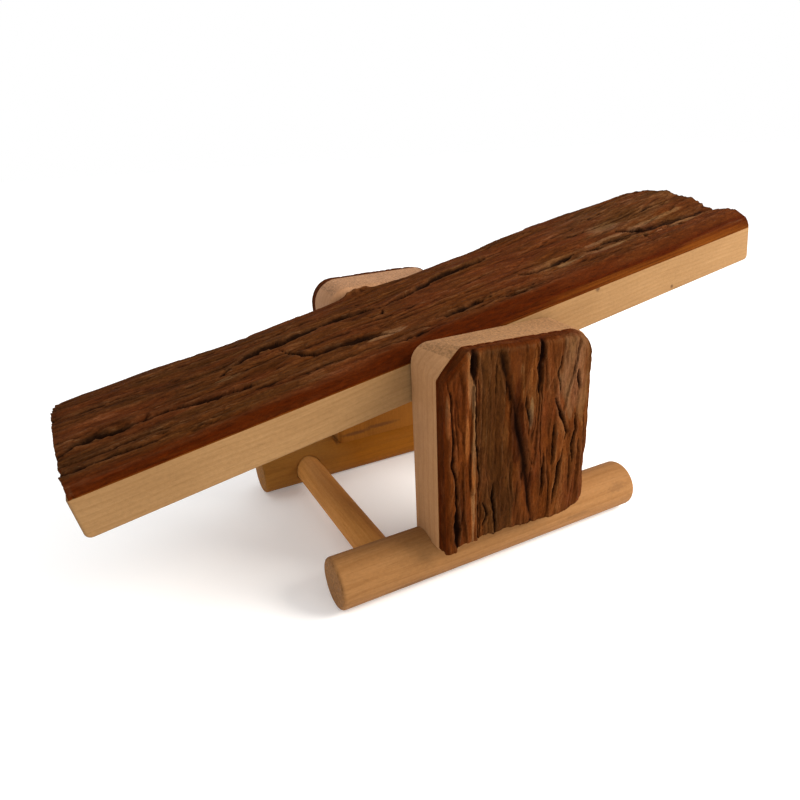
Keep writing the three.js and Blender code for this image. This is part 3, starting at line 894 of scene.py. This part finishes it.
NEAR_PANEL_CRACKS = (
    ([(56, -24), (48, -23.5), (43, -23), (33, -23), (27, -22.7), (18, -21.7), (8, -22), (-1, -21.5)],
     1.0, 0.5, 0.3),
    ([(14, -21.7), (8, -21.9), (2, -21.9)], 1.8, 1.3, 0.0),
    ([(60, -16), (52, -16), (42, -15.8), (36, -15.6), (25, -15), (13, -15), (-1, -14.4)], 1.3, 0.6, -0.6),
    ([(59, -16.4), (54, -16.2), (49, -16.2)], 2.2, 1.5, 0.0),
    ([(44, -15.7), (39, -15.6), (34, -15.5)], 1.8, 0.8, 0.0),
    ([(57, -7.8), (53, -7.4), (48, -7)], 0.7, 1.3, 0.0),
    ([(53, -7.4), (45, -5.2), (38, -3.4), (30, -1.8), (21, 0.5), (12, 1.7), (4, 2.9), (-1, 3.2)],
     0.9, 2.2, 0.0),
    ([(48, -6), (38, -3.6), (30, -1.8), (21, 0.5), (12, 1.7), (4, 2.9), (-1, 3.2)], 0.9, 0.6, 0.6),
    ([(43, -0.4), (36, 0.9), (30, 0.8)], 0.5, 0.5, 0.5),
    ([(61, 6), (56, 5), (50, 4.3), (42, 4.3)], 1.2, 1.0, 0.4),
    ([(39, 10), (33, 12.3), (28, 14.5), (26, 13.6)], 1.4, 0.6, 0.6),
    ([(31, 10.2), (24, 9.6), (19, 9)], 1.0, 0.5, 0.4),
    ([(23, 12.6), (17, 11.3), (13, 11), (6, 9.8)], 1.3, 0.6, 0.5),
    ([(33, 17.2), (26, 16.4), (18, 16.6)], 1.1, 0.5, 0.4),
    ([(18, -9.6), (10, -9.5), (2, -9)], 1.1, 0.55, 0.3),
    ([(13, -12.8), (9, -11.8), (5.5, -13)], 1.0, 0.5, 0.3),
    ([(46, 17), (40, 17.8)], 1.0, 0.6, 0.3),
    ([(24, 6.2), (17, 6.8), (10, 6)], 0.9, 0.45, 0.3),
    ([(51, 11), (46, 10.4), (41, 11)], 0.8, 0.4, 0.3),
)
NEAR_PANEL_PATCHES = (
    ((38, -10.5), (28, 4.6), -0.08, -1.0),
    ((12, -8), (16, 5), -0.12, -0.8),
    ((26, -16.6), (30, 0.7), 0.75, -0.5),
    ((50, -18.0), (8, 0.8), 0.6, -0.4),
    ((34, -18.6), (6, 0.7), 0.5, -0.3),
    ((42, -24.0), (6, 0.6), 0.55, -0.4),
    ((37, 1.6), (5, 0.6), 0.6, -0.5),
    ((46, -1.5), (6, 0.8), 0.35, -0.4),
    ((47, 17), (15, 6), 0.34, -0.9),
    ((24, 12), (22, 9), 0.05, 0.0),
    ((35, -2.8), (12, 2.0), -0.45, 0.5),
    ((53, 4.6), (5, 1.6), -0.35, 0.2),
    ((22, -21), (40, 4), -0.06, 0.8),
    ((30, 0), (60, 40), -0.16, 0.0),
    ((14, 8), (16, 8), 0.06, 0.1),
)
FAR_PANEL_CRACKS = (
    ([(59, -17), (40, -15), (22, -17.5), (-1, -16)], 1.9, 0.8, 0.4),
    ([(59, -6), (46, -4), (30, -6.5), (16, -3), (-1, -4)], 1.7, 0.6, 0.5),
    ([(52, 7), (38, 9), (20, 6), (-1, 8)], 2.0, 1.0, 0.5),
    ([(59, 17), (44, 15.5), (30, 18)], 1.6, 0.6, 0.3),
    ([(30, 14), (16, 16), (3, 15)], 1.4, 0.5, 0.3),
    ([(46, -21), (30, -20), (14, -21.5)], 1.2, 0.5, 0.2),
)
FAR_PANEL_PATCHES = (
    ((44, 1), (14, 6), 0.25, -0.6),
    ((14, -10), (14, 5), 0.20, -0.5),
    ((30, 15), (22, 3), -0.10, 0.3),
)


def build_panel_bark(side, cracks, patches, seed):
    grain = panel_grain(side)
    size = PANELS[side]
    rows, columns = 150, 236
    s = np.linspace(0, 1, rows)[:, None]
    t = np.linspace(0, 1, columns)[None, :]
    top = panel_top(side) - size["bark_inset"]
    nominal = s * top
    edges = []
    for radius, flat in zip(size["outer"], size["flat"]):
        over = np.clip((nominal - (top - radius)) / radius, 0, 1)
        arc = radius * (1 - np.sqrt(1 - np.clip(over, 0, 0.999) ** 2))
        edges.append(arc * (1 - flat) + radius * over * flat)
    left = -PANEL_HALF_WIDTH + size["bark_inset"] + edges[0]
    # The right edge draws in at the foot and is a little ragged.
    lower = np.clip((4.0 - nominal) / 4.0, 0, 0.999)
    ragged = 0.4 * layered(nominal / 5, 0, seed + 44, 3)
    right = PANEL_HALF_WIDTH - 0.7 + ragged - edges[1] - 4.6 * (1 - np.sqrt(1 - lower**2))
    v = left + (right - left) * t
    u = nominal - size["tilt"] * v * smoothstep(0.6 * top, top, nominal)
    # The foot is torn in steps and the top is nibbled.
    stand = 0.4 + 1.8 * smoothstep(-22, -21, v) + 0.1 * smoothstep(-15, -13.5, v)
    stand = stand - 0.7 * smoothstep(-6, 4, v)
    u = u + (stand + 0.5 * layered(v / 3.5, 0, seed + 40, 3)) * (1 - s) ** 8
    u = u - 0.5 * np.clip(layered(v / 2.5, 0, seed + 41, 3), 0, 1) * s**12
    # A broad flat plate lies left of the middle.
    plate = smoothstep(-15.4, -14.6, v) * smoothstep(-4, -6, v - 0.1 * (40 - u))
    height = 4.5 - 0.7 * plate + 0.5 * noise(u / 24, v / 8, seed + 42)
    from_right = (right - v) / (4.4 + 1.0 * layered(u / 5, 0, seed + 43, 3))
    round_right = np.sqrt(np.clip(1 - (1 - np.clip(from_right, 0, 1)) ** 1.6, 0, 1))
    height = 0.4 + (height - 0.4) * round_right
    from_rim = np.minimum(top - nominal, v - left)
    height = height * (0.80 + 0.20 * smoothstep(0, 1.4, from_rim))
    live = smoothstep(0, 2.0, np.minimum(from_rim, right - v)) * 0.7 + 0.3
    inner = 0.34 * smoothstep(1.3, 0.2, from_rim)
    height, fields = bark_surface(u, v, height, live, inner, 0.5, 0.62, cracks, patches, seed)
    return bark_piece(f"bark_of_{side}_panel", grain, 0.0, u, v, height, fields, seed)


# ---- the frame of dowels ----


def build_skid(side):
    """A round skid with a flat seat for its panel, and two sockets for the crossbars."""
    low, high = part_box(side + "_skid")
    y, z = (low.y + high.y) / 2, (low.z + high.z) / 2
    radius = (high.z - low.z) / 2 / MM
    bar, grain = cylinder(f"{side}_skid_dowel", (low.x, y, z), (high.x, y, z), radius, 96, 1.1)
    panel_low, panel_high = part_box(side + "_panel_board")
    slack = 0.1 * MM
    seat_low = (panel_low.x - slack, low.y - slack, panel_low.z)
    seat_high = (panel_high.x + slack, high.y + slack, panel_high.z)
    apply_boolean(bar, box_object("seat", seat_low, seat_high))
    inward = 1.0 if side == "near" else -1.0
    for bar_name in ("left_crossbar", "right_crossbar"):
        bar_low, bar_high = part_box(bar_name)
        x = (bar_low.x + bar_high.x) / 2
        bottom = (x, y - inward * SOCKET_PAST_MIDDLE * MM, z)
        outside = (x, y + inward * 0.012, z)
        socket, _ = cylinder("socket", bottom, outside, SOCKET_RADIUS, 64)
        apply_boolean(bar, socket)
    for place in ("left", "right"):
        screw_low, screw_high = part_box(f"{side}_screw_{place}")
        x, screw_y = (screw_low.x + screw_high.x) / 2, (screw_low.y + screw_high.y) / 2
        hole_top = (x, screw_y, screw_low.z + SCREW_HOLE_DEPTH * MM)
        hole, _ = cylinder("hole", (x, screw_y, -0.002), hole_top, SCREW_HOLE_RADIUS, 48)
        apply_boolean(bar, hole)
    mark_grain(bar, grain)
    smooth(bar, 30)
    return bar


def box_object(name, low, high):
    """A plain box, used only to cut with."""
    xs, ys, zs = zip(low, high)
    corners = [(x, y, z) for x in xs for y in ys for z in zs]
    faces = [(0, 1, 3, 2), (4, 6, 7, 5), (0, 4, 5, 1), (2, 3, 7, 6), (0, 2, 6, 4), (1, 5, 7, 3)]
    return new_object(name, corners, faces)


def build_crosswise_dowel(name, node):
    """A dowel that runs across the seesaw, along Y."""
    low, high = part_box(node)
    x, z = (low.x + high.x) / 2, (low.z + high.z) / 2
    radius = (high.z - low.z) / 2 / MM
    bar, grain = cylinder(name, (x, low.y, z), (x, high.y, z), radius, 72, 0.5)
    mark_grain(bar, grain)
    smooth(bar, 30)
    return bar


def build_screw(side, place):
    """A countersunk screw with a cross recess, point up."""
    low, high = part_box(f"{side}_screw_{place}")
    x, y = (low.x + high.x) / 2, (low.y + high.y) / 2
    grain = Grain((x, y, low.z), (0, 0, 1), (1, 0, 0), (0, 1, 0))
    length = (high.z - low.z) / MM
    head = (high.x - low.x) / 2 / MM
    profile = [(0.0, head - 0.25), (0.08, head - 0.08), (0.25, head), (0.45, head), (1.8, 1.25)]
    pitch, root, crest = 1.3, 1.15, 1.5
    u = 2.4
    while u < length - 4.5:
        profile += [(u, root), (u + pitch * 0.5, crest), (u + pitch * 0.62, crest)]
        u += pitch
    profile += [(length - 4.0, root), (length - 0.1, 0.12)]
    screw = turned(f"{side}_{place}_wood_screw", profile, grain, 32)
    for wide, deep in ((0.0019, 0.00035), (0.00035, 0.0019)):
        slot_low = (x - wide, y - deep, low.z - 0.001)
        slot_high = (x + wide, y + deep, low.z + 0.0012)
        apply_boolean(screw, box_object("slot", slot_low, slot_high))
    smooth(screw, 30)
    return screw


# ---- stage, light and camera ----

CAMERA_PLACE = (-0.09588, -0.16892, 0.12014)
CAMERA_YAW = math.radians(26.55)      # from +Y towards +X
CAMERA_PITCH = math.radians(-23.02)
CAMERA_ROLL = math.radians(-2.62)
CAMERA_LENS = 28.286


def build_camera():
    heading = Vector((math.sin(CAMERA_YAW), math.cos(CAMERA_YAW), 0.0))
    forward = heading * math.cos(CAMERA_PITCH) + Vector((0, 0, math.sin(CAMERA_PITCH)))
    level = forward.cross(Vector((0, 0, 1))).normalized()
    upright = level.cross(forward)
    right = level * math.cos(CAMERA_ROLL) + upright * math.sin(CAMERA_ROLL)
    up = right.cross(forward)
    data = bpy.data.cameras.new("camera")
    data.lens = CAMERA_LENS
    data.sensor_width = 36.0
    data.clip_start = 0.005
    camera = bpy.data.objects.new("camera", data)
    turn = Matrix((right, up, -forward)).transposed().to_4x4()
    camera.matrix_world = Matrix.Translation(CAMERA_PLACE) @ turn
    bpy.context.scene.collection.objects.link(camera)
    bpy.context.scene.camera = camera


def build_floor():
    """A plain pale floor, a little lit from within so that it reads as white."""
    half = 3.0
    corners = [(-half, -half, 0), (half, -half, 0), (half, half, 0), (-half, half, 0)]
    floor = new_object("floor", corners, [(0, 1, 2, 3)])
    n = Nodes("pale_floor")
    n.surface({"Base Color": (0.93, 0.93, 0.93, 1.0), "Roughness": 0.9, "Specular IOR Level": 0.1})
    n.surface({"Emission Color": (1.0, 1.0, 1.0, 1.0), "Emission Strength": 0.14})
    floor.data.materials.append(n.material)


def build_light():
    """Even white surroundings and one soft, slightly warm light from the right."""
    world = bpy.data.worlds.new("soft_white")
    world.use_nodes = True
    background = world.node_tree.nodes["Background"]
    background.inputs["Color"].default_value = (1.0, 1.0, 1.0, 1.0)
    background.inputs["Strength"].default_value = 1.0
    bpy.context.scene.world = world
    data = bpy.data.lights.new("key", "AREA")
    data.size = 0.30
    data.energy = 4.2
    data.color = (1.0, 0.96, 0.90)
    key = bpy.data.objects.new("key", data)
    key.location = (0.36, -0.30, 0.32)
    aim = Vector((0.02, 0.0, 0.05)) - key.location
    key.rotation_euler = aim.to_track_quat("-Z", "Y").to_euler()
    bpy.context.scene.collection.objects.link(key)
    bpy.context.scene.view_settings.view_transform = "Standard"


# ---- build it all ----

plank_wood = wood_material(
    "plank_wood", (0.285, 0.163, 0.068), (0.188, 0.094, 0.031), (6.0, -70.0), 1.25, 0.36,
    (((42.5, -30.0, 5.2), 0.9, 1.0, 0.75), ((73.5, -30.0, -3.9), 0.7, 1.0, 0.75)),
)
panel_wood = wood_material(
    "panel_wood", (0.392, 0.207, 0.093), (0.255, 0.124, 0.048), (4.0, -60.0), 2.6, 0.45,
    end_shade=0.6,
)
# A copy of the panel wood for the far panel: its lower part is painted warm amber shade, and its two dark
# marks are a painted shadow along its seam with the skid.
far_panel_shaded_wood = wood_material(
    "far_panel_shaded_wood", (0.382, 0.206, 0.107), (0.255, 0.124, 0.056), (4.0, -60.0), 2.6, 0.35,
    (((2.8, -17.0, -13.0), 5.8, 0.13, 0.60), ((3.6, -6.0, -13.0), 7.5, 0.11, 0.55)),
    amber=(34.0, 14.0, (0.285, 0.102, 0.010)),
)
dowel_wood = wood_material(
    "dowel_wood", (0.29, 0.143, 0.050), (0.180, 0.074, 0.018), (12.0, -16.0), 2.3, 0.48,
    (
        ((22.0, 6.4, 3.8), 1.3, 7.0, 0.35),
        ((33.0, 4.6, -5.9), 1.5, 2.0, 0.25),
        ((97.0, 6.6, -3.4), 1.6, 2.6, 0.22),
        ((80.0, 7.4, 0.8), 0.9, 8.0, 0.25),
    ),
)
# A lighter, more orange copy of the dowel wood for the crossbars and pivot pin: painted light, making up for
# the shade they stand in under the plank.
crossbar_brightened_wood = wood_material(
    "crossbar_brightened_wood", (0.52, 0.240, 0.060), (0.34, 0.130, 0.024), (12.0, -16.0), 2.3, 0.40
)
# A more orange copy of the dowel wood for the far skid: painted warm shade, deeper towards its right end.
far_skid_shaded_wood = wood_material(
    "far_skid_shaded_wood", (0.315, 0.138, 0.023), (0.205, 0.078, 0.011), (12.0, -16.0), 2.3, 0.48,
    amber=(20.0, -15.0, (0.275, 0.092, 0.002)),
)
bark = bark_material("bark")
panel_bark = bark_material("panel_bark", 0.8)
steel = steel_material("screw_steel")

build_camera()
finish_piece(build_plank_board(), plank_wood, "plank", "plank_wood", "plank_board")
finish_piece(build_plank_bark(), bark, "plank", "bark", "plank_bark")
for side, cracks, patches, seed in (
    ("near", NEAR_PANEL_CRACKS, NEAR_PANEL_PATCHES, 301),
    ("far", FAR_PANEL_CRACKS, FAR_PANEL_PATCHES, 402),
):
    board = build_panel_board(side)
    board_wood = panel_wood if side == "near" else far_panel_shaded_wood
    finish_piece(board, board_wood, "base", "panel_wood", side + "_panel_board")
    skin = build_panel_bark(side, cracks, patches, seed)
    finish_piece(skin, panel_bark, "base", "bark", side + "_panel_bark")
    skid_wood = dowel_wood if side == "near" else far_skid_shaded_wood
    finish_piece(build_skid(side), skid_wood, "base", "dowel_wood", side + "_skid")
    for place in ("left", "right"):
        screw = build_screw(side, place)
        finish_piece(screw, steel, "base", "screw_steel", f"{side}_screw_{place}")
for name, node in (
    ("left_cross_dowel", "left_crossbar"),
    ("right_cross_dowel", "right_crossbar"),
    ("pivot_pin", "pivot_dowel"),
):
    finish_piece(build_crosswise_dowel(name, node), crossbar_brightened_wood, "base", "dowel_wood", node)
build_floor()
build_light()
